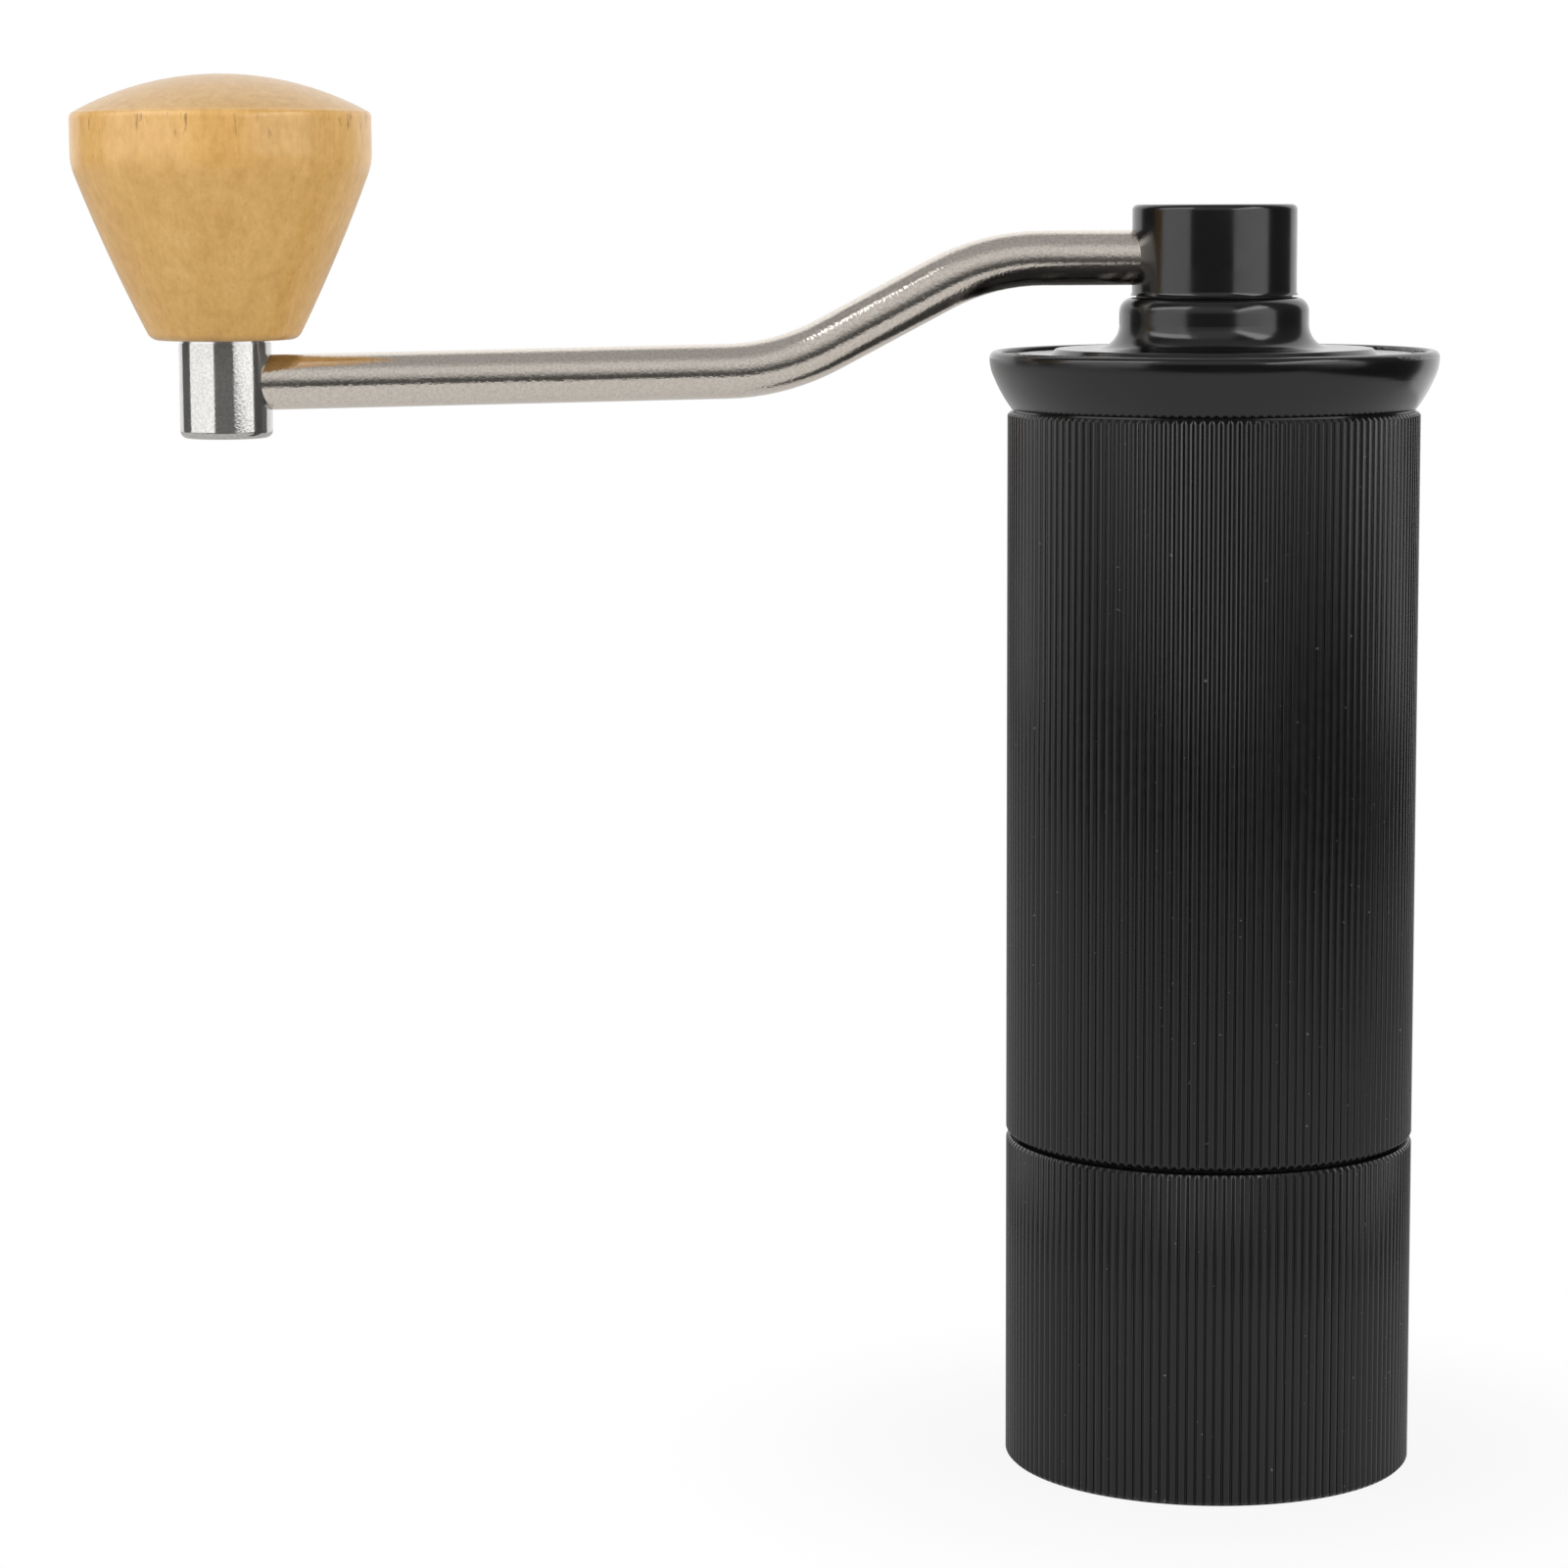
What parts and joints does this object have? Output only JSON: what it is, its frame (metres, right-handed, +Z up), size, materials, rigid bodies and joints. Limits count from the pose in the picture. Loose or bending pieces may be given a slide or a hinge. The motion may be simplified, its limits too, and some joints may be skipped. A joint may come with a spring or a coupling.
{
  "type": "hand crank coffee grinder",
  "caption": "Slim hand coffee grinder: ribbed black barrel and screw-on cup, flared hopper collar, lid with crank, bent steel arm and turned wooden knob.",
  "frame": {"origin": "centre of the cup's flat underside, on the grinding axis", "axes": "+Z up along the grinding axis; the crank arm points along -X at rest; +Y is across the arm"},
  "size_m": [0.171, 0.0566, 0.1775],
  "materials": {
    "ribbed_black": "matte black anodised, vertical ribs",
    "satin_black": "satin black",
    "polished_steel": "polished stainless",
    "bar_steel": "drawn stainless bar",
    "wood": "varnished hardwood",
    "burr_steel": "ground tool steel",
    "bearing_steel": "bearing steel",
    "bracket_metal": "machined",
    "dial_plastic": "moulded",
    "bush_brass": "turned",
    "seal_rubber": "moulded"
  },
  "bodies": {
    "barrel": {"barrel": "ribbed_black", "hopper_collar": "satin_black", "upper_bearing_bracket": "bracket_metal", "bracket_ring": "bearing_steel", "lower_bearing_bracket": "bracket_metal", "upper_bearing_outer_race": "bearing_steel", "lower_bearing_outer_race": "bearing_steel", "outer_burr": "burr_steel", "burr_retaining_nut": "bracket_metal"},
    "rotor": {"drive_shaft": "bearing_steel", "shaft_clips": "bearing_steel", "shaft_end_clip": "bearing_steel", "upper_bearing_inner_race": "bearing_steel", "lower_bearing_inner_race": "bearing_steel", "spring_washer": "bearing_steel", "burr_spring": "bearing_steel"},
    "upper_ball_set": {"upper_bearing_balls": "bearing_steel", "upper_bearing_cage": "bush_brass"},
    "lower_ball_set": {"lower_bearing_balls": "bearing_steel", "lower_bearing_cage": "bush_brass"},
    "burr": {"inner_burr": "burr_steel", "click_plate": "bracket_metal"},
    "dial": {"adjuster_dial": "dial_plastic", "click_balls": "bearing_steel"},
    "lid": {"lid": "satin_black", "lid_seal": "seal_rubber", "lid_bush": "dial_plastic"},
    "crank": {"crank_hub": "satin_black", "hub_clip": "bearing_steel", "drive_socket": "burr_steel", "crank_arm": "bar_steel", "crank_post": "polished_steel", "knob_washer": "bearing_steel", "knob_spindle": "bearing_steel", "knob_clip": "bearing_steel"},
    "knob": {"knob": "wood", "knob_bush": "bush_brass"},
    "cup_ring": {"cup_seal": "seal_rubber"},
    "cup": {"grounds_cup": "ribbed_black"}
  },
  "joints": [
    {"name": "crank_turn", "type": "hinge", "parent": "lid", "child": "crank", "pos_m": [0, 0, 0.15], "axis": [0, 0, -1], "continuous": true},
    {"name": "knob_spin", "type": "hinge", "parent": "crank", "child": "knob", "pos_m": [-0.1241, 0, 0.16], "axis": [0, 0, 1], "continuous": true},
    {"name": "lid_lift", "type": "slide", "parent": "barrel", "child": "lid", "axis": [0, 0, 1], "range_m": [0, 0.04]},
    {"name": "shaft_turn", "type": "hinge", "parent": "barrel", "child": "rotor", "pos_m": [0, 0, 0.1], "axis": [0, 0, -1], "continuous": true},
    {"name": "upper_balls_turn", "type": "hinge", "parent": "barrel", "child": "upper_ball_set", "pos_m": [0, 0, 0.1185], "axis": [0, 0, -1], "continuous": true},
    {"name": "lower_balls_turn", "type": "hinge", "parent": "barrel", "child": "lower_ball_set", "pos_m": [0, 0, 0.07], "axis": [0, 0, -1], "continuous": true},
    {"name": "burr_travel", "type": "slide", "parent": "rotor", "child": "burr", "axis": [0, 0, 1], "range_m": [-0.0015, 0.0005], "deforming": ["burr_spring"]},
    {"name": "grind_adjust", "type": "hinge", "parent": "burr", "child": "dial", "pos_m": [0, 0, 0.04], "axis": [0, 0, 1], "range_deg": [-540, 180]},
    {"name": "cup_turn", "type": "hinge", "parent": "barrel", "child": "cup_ring", "pos_m": [0, 0, 0.04], "axis": [0, 0, -1], "range_deg": [0, 720]},
    {"name": "cup_drop", "type": "slide", "parent": "cup_ring", "child": "cup", "axis": [0, 0, -1], "range_m": [0, 0.06]}
  ],
  "couplings": [
    {"joint": "shaft_turn", "follows": "crank_turn", "ratio": 1},
    {"joint": "upper_balls_turn", "follows": "crank_turn", "ratio": 0.4},
    {"joint": "lower_balls_turn", "follows": "crank_turn", "ratio": 0.4},
    {"joint": "grind_adjust", "follows": "burr_travel", "rad_per_m": 6283.2}
  ]
}
